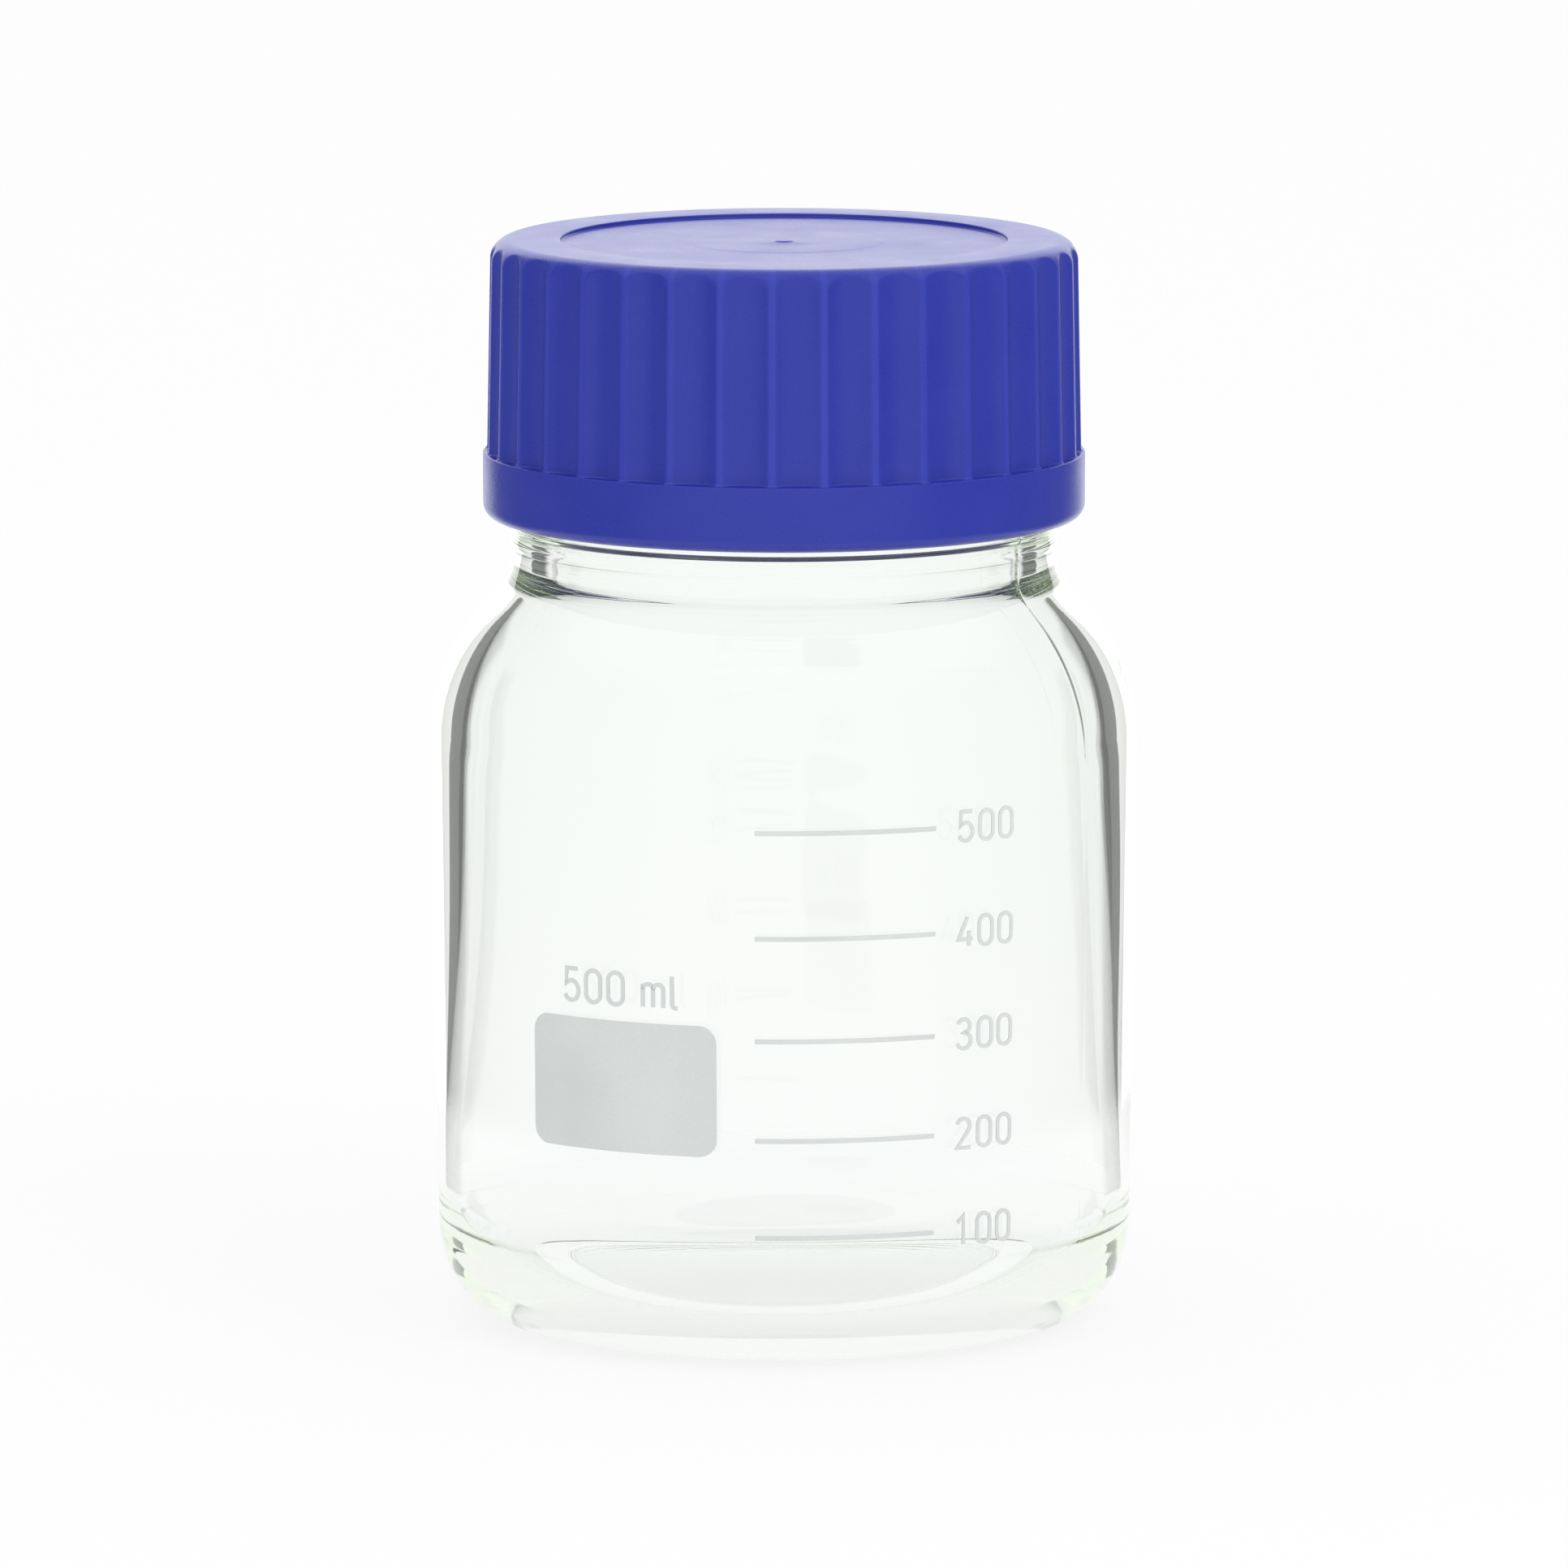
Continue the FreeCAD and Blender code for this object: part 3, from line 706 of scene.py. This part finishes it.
def cap_thread_ridge(finish):
    """One ridge of the cap's inside thread, a closed bar along its helix."""
    root_r = BORE_R + CAP_THREAD_ROOT
    edge_r = CAP_THREAD_CREST_R + CAP_THREAD_EDGE_R
    half_crest = CAP_THREAD_CREST / 2
    profile = [
        (edge_r, -half_crest - CAP_THREAD_EDGE),
        (CAP_THREAD_CREST_R, -half_crest + CAP_THREAD_EDGE),
        (CAP_THREAD_CREST_R, half_crest - CAP_THREAD_EDGE),
        (edge_r, half_crest + CAP_THREAD_EDGE),
        (root_r, CAP_THREAD_BASE / 2),
        (root_r, -CAP_THREAD_BASE / 2),
    ]
    rows = []
    for along in np.linspace(0, CAP_THREAD_TURN, CAP_THREAD_ROWS):
        t = math.radians(CAP_THREAD_FROM + along)
        from_start = along / CAP_THREAD_RUN_OUT + CAP_THREAD_END
        to_end = (CAP_THREAD_TURN - along) / CAP_THREAD_RUN_OUT + CAP_THREAD_END
        ends = smooth_step(from_start) * smooth_step(to_end)
        width = CAP_THREAD_END_WIDTH + (1 - CAP_THREAD_END_WIDTH) * ends
        z = CAP_THREAD_LOW_Z + LEAD * along / 360
        row = []
        for r, rise in profile:
            q = root_r - (root_r - r) * ends
            row.append((q * math.cos(t), q * math.sin(t), z + rise * width))
        rows.append(row)
    points, faces = skin(rows, True, False)
    count = len(profile)
    last = len(points) - count
    faces.append(tuple(range(count))[::-1])
    faces.append(tuple(range(last, last + count)))
    return new_piece("cap_thread_ridge", points, faces, finish)


def turned_copies_tree():
    """Geometry nodes that repeat a piece about the axis and join the copies."""
    tree = bpy.data.node_groups.new("turned_copies", "GeometryNodeTree")
    face = tree.interface
    face.new_socket("Piece", in_out="INPUT", socket_type="NodeSocketGeometry")
    face.new_socket("Copies", in_out="INPUT", socket_type="NodeSocketInt")
    face.new_socket("First Turn", in_out="INPUT", socket_type="NodeSocketFloat")
    face.new_socket("Join Distance", in_out="INPUT", socket_type="NodeSocketFloat")
    face.new_socket("Finish", in_out="INPUT", socket_type="NodeSocketMaterial")
    face.new_socket("Copies Joined", in_out="OUTPUT", socket_type="NodeSocketGeometry")
    graph = Graph(tree)
    source = graph.add("NodeGroupInput", {}, {}, "Piece")
    copies, first, distance, finish = (
        Value(graph, source.socket.node.outputs[name])
        for name in ("Copies", "First Turn", "Join Distance", "Finish"))
    index = graph.add("GeometryNodeInputIndex", {}, {})
    turn = first + index * (2 * math.pi) / copies
    points = graph.add("GeometryNodeMeshLine", {}, {"Count": copies, "Offset": (0.0, 0.0, 0.0)})
    rotation = graph.add("ShaderNodeCombineXYZ", {}, {"Z": turn})
    spread = graph.add("GeometryNodeInstanceOnPoints", {}, {
        "Points": points, "Instance": source, "Rotation": rotation})
    solid = graph.add("GeometryNodeRealizeInstances", {}, {"Geometry": spread})
    joined = graph.add("GeometryNodeMergeByDistance", {}, {"Geometry": solid, "Distance": distance})
    finished = graph.add("GeometryNodeSetMaterial", {}, {"Geometry": joined, "Material": finish})
    graph.add("NodeGroupOutput", {}, {"Copies Joined": finished})
    return tree


def turned_copies(tree, source, name, copies, first_turn, join, finish):
    """A plain mesh object of a source repeated about the axis."""
    maker = source.modifiers.new("copies", "NODES")
    maker.node_group = tree
    sockets = {item.name: item.identifier for item in tree.interface.items_tree if item.in_out == "INPUT"}
    maker[sockets["Copies"]] = copies
    maker[sockets["First Turn"]] = first_turn
    maker[sockets["Join Distance"]] = join
    maker[sockets["Finish"]] = finish
    source.update_tag()
    depsgraph = bpy.context.evaluated_depsgraph_get()
    mesh = bpy.data.meshes.new_from_object(source.evaluated_get(depsgraph))
    source.modifiers.remove(maker)
    bpy.data.objects.remove(source)
    mesh.name = name
    piece = bpy.data.objects.new(name, mesh)
    bpy.context.scene.collection.objects.link(piece)
    return piece


def pouring_ring(finish):
    """The drip-free ring over the rim, with a thin rounded lip."""
    section = [(MOUTH_R, GLASS_HEIGHT)]
    section += around((MOUTH_R, RING_TOP_Z), RING_MOUTH_EDGE)
    section.append((RING_PLATE_MIDDLE_R, RING_TOP_Z))
    section += around((RING_LIP_R, RING_TOP_Z), RING_LIP_EDGE)
    section += around((RING_R, RING_TOP_Z), RING_LIP_FOOT)
    section += around((RING_R, RING_LOW_Z), RING_FOOT_EDGE)
    section += around((RING_INNER_R, RING_LOW_Z), RING_INNER_EDGE)
    section += list(zip((RING_INNER_R, RING_HOOK_R, RING_HOOK_R, RING_INNER_R), RING_HOOK_Z))
    section.append((RING_INNER_R, GLASS_HEIGHT))
    turns = np.radians(np.arange(RING_COLUMNS) * 360 / RING_COLUMNS)
    points, faces = skin(turned_rows(section[::-1], turns), True, True)
    return new_piece("pouring_ring_lip", points, faces, finish)


def sealing_disc(finish):
    """The loose disc under the cap's roof, with a softened edge."""
    section = [(0.0, RING_TOP_Z), (SEAL_MIDDLE_R, RING_TOP_Z)]
    section += around((SEAL_R, RING_TOP_Z), SEAL_EDGE)
    section += around((SEAL_R, ROOF_Z), [(r, -z) for r, z in SEAL_EDGE[::-1]])
    section += [(SEAL_MIDDLE_R, ROOF_Z), (0.0, ROOF_Z)]
    turns = np.radians(np.arange(SEAL_COLUMNS) * 360 / SEAL_COLUMNS)
    points, faces = skin(turned_rows(section, turns), True, False)
    return new_piece("sealing_disc", points, faces, finish)


def loop(x, y, width, height, from_deg, to_deg, count):
    """Points on an oval arc about (x, y)."""
    turns = np.radians(np.linspace(from_deg, to_deg, count))
    return [(x + width * math.cos(t), y + height * math.sin(t)) for t in turns]


def glyphs():
    """Strokes of the scale's plain narrow figures, each 1 high, with their widths."""
    oval = loop(0.23, 0.74, 0.23, 0.26, 0, 180, 13) + loop(0.23, 0.26, 0.23, 0.26, 180, 360, 13)
    one = [(0.04, 0.76), (0.24, 1.0), (0.24, 0.0)]
    two = loop(0.22, 0.75, 0.22, 0.25, 165, -25, 14) + [(0.36, 0.54), (0.0, 0.0), (0.46, 0.0)]
    three = loop(0.21, 0.77, 0.21, 0.23, 160, -75, 14) + [(0.18, 0.53)]
    three += [(0.22, 0.53)] + loop(0.21, 0.265, 0.24, 0.265, 75, -160, 15)
    four = [(0.30, 1.0), (0.0, 0.24), (0.48, 0.24)]
    four_stem = [(0.36, 0.52), (0.36, 0.0)]
    five = [(0.43, 1.0), (0.07, 1.0), (0.04, 0.52)] + loop(0.22, 0.31, 0.24, 0.31, 125, -155, 18)
    m_left = [(0.0, 0.0), (0.0, 0.72)]
    m_arch = [(0.0, 0.56)] + loop(0.15, 0.55, 0.15, 0.17, 150, 0, 9) + [(0.30, 0.0)]
    m_last = [(0.30, 0.56)] + loop(0.45, 0.55, 0.15, 0.17, 150, 0, 9) + [(0.60, 0.0)]
    l_stem = [(0.0, 1.0), (0.0, 0.16)] + loop(0.12, 0.14, 0.12, 0.14, 190, 270, 6) + [(0.16, 0.0)]
    return {
        "0": (0.46, [(oval, True)]),
        "1": (0.46, [(one, False)]),
        "2": (0.46, [(two, False)]),
        "3": (0.46, [(three, False)]),
        "4": (0.46, [(four, False), (four_stem, False)]),
        "5": (0.46, [(five, False)]),
        "m": (0.60, [(m_left, False), (m_arch, False), (m_last, False)]),
        "l": (0.16, [(l_stem, False)]),
        " ": (0.10, []),
    }


def stroke_sides(line, closed, width):
    """Left and right points of a stroke of even width along a line."""
    line = np.array(line)
    if closed:
        before, after = np.roll(line, 1, axis=0), np.roll(line, -1, axis=0)
    else:
        before = np.vstack([2 * line[0] - line[1], line[:-1]])
        after = np.vstack([line[1:], 2 * line[-1] - line[-2]])
    first, second = line - before, after - line
    first /= np.maximum(np.linalg.norm(first, axis=1), SHORTEST)[:, None]
    second /= np.maximum(np.linalg.norm(second, axis=1), SHORTEST)[:, None]
    across = np.stack([-(first + second)[:, 1], (first + second)[:, 0]], axis=1)
    across /= np.maximum(np.linalg.norm(across, axis=1), SHORTEST)[:, None]
    normal = np.stack([-first[:, 1], first[:, 0]], axis=1)
    mitre = np.maximum((across * normal).sum(axis=1), SHARPEST_MITRE)
    reach = across * (np.minimum(1 / mitre, LONGEST_MITRE) * width / 2)[:, None]
    return line + reach, line - reach


def enamel_text(name, text, height, stroke, from_deg, middle_z, gap, finish):
    """Figures wrapped on the body's wall as thin closed bars, starting at an angle from the front."""
    shapes = glyphs()
    points, faces = [], []
    pen = stroke / 2
    for sign in text:
        width, strokes = shapes[sign]
        for line, closed in strokes:
            scaled = [(pen + x * height, stroke / 2 + y * (height - stroke)) for x, y in line]
            left, right = stroke_sides(scaled, closed, stroke)
            rows = []
            for (lx, ly), (rx, ry) in zip(left, right):
                corners = ((rx, ry, -ENAMEL_ROOT), (lx, ly, -ENAMEL_ROOT), (lx, ly, ENAMEL), (rx, ry, ENAMEL))
                row = []
                for x, y, lift in corners:
                    z = middle_z - height / 2 + y
                    r = wall_r(z) + lift
                    t = math.radians(from_deg - 90) + x / wall_r(middle_z)
                    row.append((r * math.cos(t), r * math.sin(t), z))
                rows.append(row)
            first = len(points)
            bar, sides = skin(rows, True, closed)
            if not closed:
                sides.append((3, 2, 1, 0))
                sides.append(tuple(range(len(bar) - 4, len(bar))))
            points += bar
            faces += [tuple(first + k for k in side) for side in sides]
        pen += width * height + gap
    piece = new_piece(name, points, faces, finish)
    piece.data.polygons.foreach_set("use_smooth", [False] * len(piece.data.polygons))
    return piece


def dress_bottle():
    """Every piece with its finish and body."""
    glass = clear_glass()
    enamel = fired_enamel()
    blue = moulded_plastic("cap_blue", colour(33, 46, 158), colour(50, 64, 180), CAP_ROUGHNESS)
    ring_blue = moulded_plastic("ring_blue", colour(34, 48, 150), colour(58, 74, 178), RING_ROUGHNESS)

    bottle = glass_bottle(glass)
    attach(bottle, "bottle")
    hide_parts("glass_bottle")

    tree = turned_copies_tree()
    half_pitch = math.pi / RIDGES
    cap = turned_copies(tree, grip_sector(blue), "ribbed_cap", RIDGES,
                        math.radians(-90 + RIDGE_TURN) + half_pitch, CAP_JOIN, blue)
    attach(cap, "cap")
    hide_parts("screw_cap")
    thread = turned_copies(tree, cap_thread_ridge(blue), "cap_thread", STARTS, 0.0, CAP_THREAD_JOIN, blue)
    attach(thread, "cap")

    ring = pouring_ring(ring_blue)
    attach(ring, "bottle")
    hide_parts("pouring_ring")

    disc = sealing_disc(seal_silicone())
    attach(disc, "seal")
    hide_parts("cap_seal")

    for node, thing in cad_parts.items():
        if node.startswith("graduation") or node == "writing_panel":
            thing.data.materials.clear()
            thing.data.materials.append(enamel)
        if node.startswith("graduation"):
            low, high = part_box(node)
            figures = node.split("_")[1]
            label = enamel_text("figures_" + figures, figures, NUMERAL_HEIGHT, NUMERAL_STROKE, NUMERAL_FROM,
                                (low.z + high.z) / 2 / MM, NUMERAL_GAP, enamel)
            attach(label, "bottle")
    capacity = enamel_text("capacity", "500 ml", CAPACITY_HEIGHT, CAPACITY_STROKE, CAPACITY_FROM,
                           CAPACITY_Z, CAPACITY_GAP, enamel)
    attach(capacity, "bottle")


# Studio
CAMERA_AT = (0.0, -2.0, 0.380)
CAMERA_TARGET = (0.0, 0.0, 0.0767)
LENS = 323.6
SENSOR = 36.0
CLIP_END = 100.0
FLOOR_HALF = 12.0
# The room by angle from straight behind the bottle, and by steepness up or down
BACKDROP_HALF = 28.0
BACKDROP_EDGE = 0.6
DARK_HALF = 44.0
DARK_EDGE = 3
DARK_LOW = (-0.34, -0.26)
DARK_HIGH = (0.22, 0.28)
DARK_THROUGH = 0.17
FRONT = (110, 150)
ABOVE = (0.55, 0.85)
BACK_GLOSS = 1.6
SIDE_GLOSS = 0.22
FRONT_GLOSS = 0.65
TOP_GLOSS = 0.9
NEAR_FLOOR = (0.18, 0.22)
FLOOR_TO_CAMERA = 0.85
FLOOR_IN_GLASS = 0.8
AMBIENT = 0.92
KEY_AT = (0.9, -1.1, 1.4)
KEY_SIZE = 1.0
KEY_POWER = 6.0
KEY_TARGET = (0, 0, 0.08)
GLASS_BOUNCES = 32


def studio_world():
    """White to the camera, soft light on surfaces, and a white room with dark uprights in gloss and glass."""
    world = bpy.data.worlds.new("studio")
    bpy.context.scene.world = world
    world.use_nodes = True
    graph = Graph(world.node_tree)
    way = graph.add("ShaderNodeTexCoord", {}, {}, "Generated")
    x = graph.add("ShaderNodeSeparateXYZ", {}, {0: way}, "X")
    y = Value(graph, x.socket.node.outputs["Y"])
    z = Value(graph, x.socket.node.outputs["Z"])
    azimuth = x.maths("ARCTAN2", abs(x), y) * (180 / math.pi)
    beyond = azimuth.between(BACKDROP_HALF - BACKDROP_EDGE, BACKDROP_HALF + BACKDROP_EDGE)
    level = z.between(*DARK_LOW) * (1 - z.between(*DARK_HIGH))
    stripe = beyond * (1 - azimuth.between(DARK_HALF - DARK_EDGE, DARK_HALF + DARK_EDGE)) * level
    through = 1 - stripe * (1 - DARK_THROUGH)
    front = azimuth.between(*FRONT)
    walls = BACK_GLOSS * (1 - beyond) + SIDE_GLOSS * beyond * (1 - front) + FRONT_GLOSS * front
    above = z.between(*ABOVE)
    gloss = walls * (1 - above) + TOP_GLOSS * above
    rays = graph.add("ShaderNodeLightPath", {}, {}, "Is Camera Ray")
    glossy = Value(graph, rays.socket.node.outputs["Is Glossy Ray"])
    glass = Value(graph, rays.socket.node.outputs["Is Transmission Ray"])
    plain = (1 - rays) * (1 - glossy) * (1 - glass)
    strength = rays + (1 - rays) * (glass * through + (1 - glass) * glossy * gloss) + plain * AMBIENT
    light = graph.add("ShaderNodeBackground", {}, {"Color": (1.0, 1.0, 1.0, 1.0), "Strength": strength})
    graph.add("ShaderNodeOutputWorld", {}, {"Surface": light})


def pale_floor():
    """White floor that keeps a soft contact shadow and lets glass show the room behind it."""
    finish, graph = new_finish("pale_floor")
    place = graph.add("ShaderNodeTexCoord", {}, {}, "Object")
    away = graph.add("ShaderNodeVectorMath", {"operation": "LENGTH"}, {0: place}, "Value")
    rays = graph.add("ShaderNodeLightPath", {}, {}, "Is Camera Ray")
    glossy = Value(graph, rays.socket.node.outputs["Is Glossy Ray"])
    glass = Value(graph, rays.socket.node.outputs["Is Transmission Ray"])
    paint = graph.add("ShaderNodeBsdfDiffuse", {}, {"Color": (0.96, 0.96, 0.96, 1.0)})
    shine = graph.add("ShaderNodeEmission", {}, {"Color": (1.0, 1.0, 1.0, 1.0), "Strength": 1.0})
    mirrored = glass.maths("MAXIMUM", glass, glossy)
    share = rays * FLOOR_TO_CAMERA + mirrored * FLOOR_IN_GLASS
    lit = graph.add("ShaderNodeMixShader", {}, {0: share, 1: paint, 2: shine})
    clear = graph.add("ShaderNodeBsdfTransparent", {}, {})
    far = mirrored * away.between(*NEAR_FLOOR)
    surface = graph.add("ShaderNodeMixShader", {}, {0: far, 1: lit, 2: clear})
    graph.add("ShaderNodeOutputMaterial", {}, {"Surface": surface})
    half = FLOOR_HALF / MM
    corners = [(-half, -half, 0), (half, -half, 0), (half, half, 0), (-half, half, 0)]
    floor = new_piece("floor", corners, [(0, 1, 2, 3)], finish)


def key_lamp():
    """A large soft lamp over the camera's right, unseen in gloss and glass."""
    data = bpy.data.lights.new("key", "AREA")
    data.shape = "DISK"
    data.size = KEY_SIZE
    data.energy = KEY_POWER
    thing = bpy.data.objects.new("key", data)
    thing.location = KEY_AT
    thing.rotation_mode = "QUATERNION"
    thing.rotation_quaternion = (Vector(KEY_TARGET) - Vector(KEY_AT)).to_track_quat("-Z", "Y")
    thing.visible_glossy = False
    thing.visible_transmission = False
    bpy.context.scene.collection.objects.link(thing)


def camera():
    """The photograph's long view from the front and a little above."""
    data = bpy.data.cameras.new("camera")
    data.lens = LENS
    data.sensor_width = SENSOR
    data.clip_end = CLIP_END
    thing = bpy.data.objects.new("camera", data)
    thing.location = CAMERA_AT
    thing.rotation_mode = "QUATERNION"
    thing.rotation_quaternion = (Vector(CAMERA_TARGET) - Vector(CAMERA_AT)).to_track_quat("-Z", "Y")
    bpy.context.scene.collection.objects.link(thing)
    bpy.context.scene.camera = thing


def glass_paths():
    """Enough light bounces for the thick heel and neck, which turn light back inside many times."""
    paths = bpy.context.scene.cycles
    paths.max_bounces = GLASS_BOUNCES
    paths.glossy_bounces = GLASS_BOUNCES
    paths.transmission_bounces = GLASS_BOUNCES


camera()
dress_bottle()
pale_floor()
studio_world()
key_lamp()
bpy.context.scene.view_settings.view_transform = "Standard"
glass_paths()
